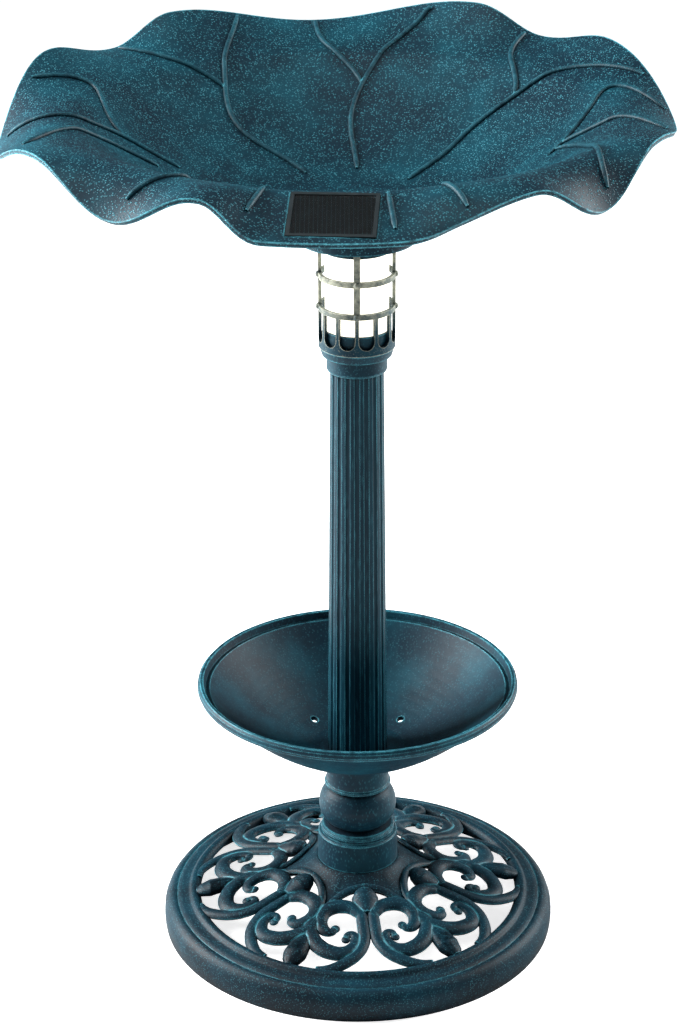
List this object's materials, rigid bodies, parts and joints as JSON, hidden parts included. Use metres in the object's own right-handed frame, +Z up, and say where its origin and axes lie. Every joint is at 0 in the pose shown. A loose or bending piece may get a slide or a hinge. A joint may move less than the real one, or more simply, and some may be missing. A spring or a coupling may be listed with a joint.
{
  "type": "bird bath",
  "caption": "Pedestal bird bath: leaf-shaped basin with a solar panel in its lip, lantern below it, fluted column, planter dish and pierced scroll-work foot.",
  "frame": {"origin": "on the ground, halfway between the left and right tips of the leaf-shaped basin; the axis of the column is 16 mm to the right of it", "axes": "+Z up along the column; -Y is the front, where the solar panel is; +X to the right seen from the front"},
  "size_m": [0.5092, 0.5155, 0.734],
  "materials": {
    "resin": "verdigris paint rubbed back to dark teal, fine stipple",
    "foot_resin": "dark verdigris paint over moulded scroll work",
    "frosted": "frosted, ribbed, light shines through",
    "steel": "zinc plated",
    "silver_trim": "satin",
    "clear_glass": "clear",
    "cells": "dark silicon cells in clear resin",
    "rubber": "black",
    "dark_plastic": "fine moulded grain",
    "white_plastic": "bright white",
    "led_lens": "clear lens over a warm white lamp",
    "board": "green solder mask",
    "contact": "plated spring strip",
    "cell_sleeve": "plain shrink sleeve",
    "knob": "black"
  },
  "bodies": {
    "stand": {"base": "foot_resin", "neck": "resin", "planter": "resin", "column": "resin", "lantern_seat": "resin", "lantern_cage": "resin", "diffuser": "frosted", "tie_rod": "steel", "rod_nuts": "steel", "rod_washers": "steel"},
    "basin": {"bowl": "resin", "panel_frame": "silver_trim", "panel_glass": "clear_glass", "solar_cells": "cells", "panel_seal": "rubber", "panel_back": "dark_plastic", "panel_screws": "steel", "lead_wire": "rubber", "wire_grommet": "rubber", "lamp_housing": "resin", "housing_screws": "steel", "housing_cover": "dark_plastic", "cover_screws": "steel", "lens_window": "clear_glass", "led_reflector": "white_plastic", "led": "led_lens", "circuit_board": "board", "board_screws": "steel", "battery_holder": "dark_plastic", "battery_contacts": "contact", "battery": "cell_sleeve", "door_pin": "steel", "switch_body": "dark_plastic"},
    "door": {"battery_door": "dark_plastic"},
    "slider": {"switch_slider": "knob"}
  },
  "joints": [
    {"name": "bowl_lift", "type": "slide", "parent": "stand", "child": "basin", "axis": [0, 0, 1], "range_m": [0, 0.06]},
    {"name": "battery_door_hinge", "type": "hinge", "parent": "basin", "child": "door", "pos_m": [0.01562, 0.03625, 0.6044], "axis": [-1, 0, 0], "range_deg": [0, 95]},
    {"name": "switch_slide", "type": "slide", "parent": "basin", "child": "slider", "axis": [0, 1, 0], "range_m": [0, 0.0032]}
  ]
}
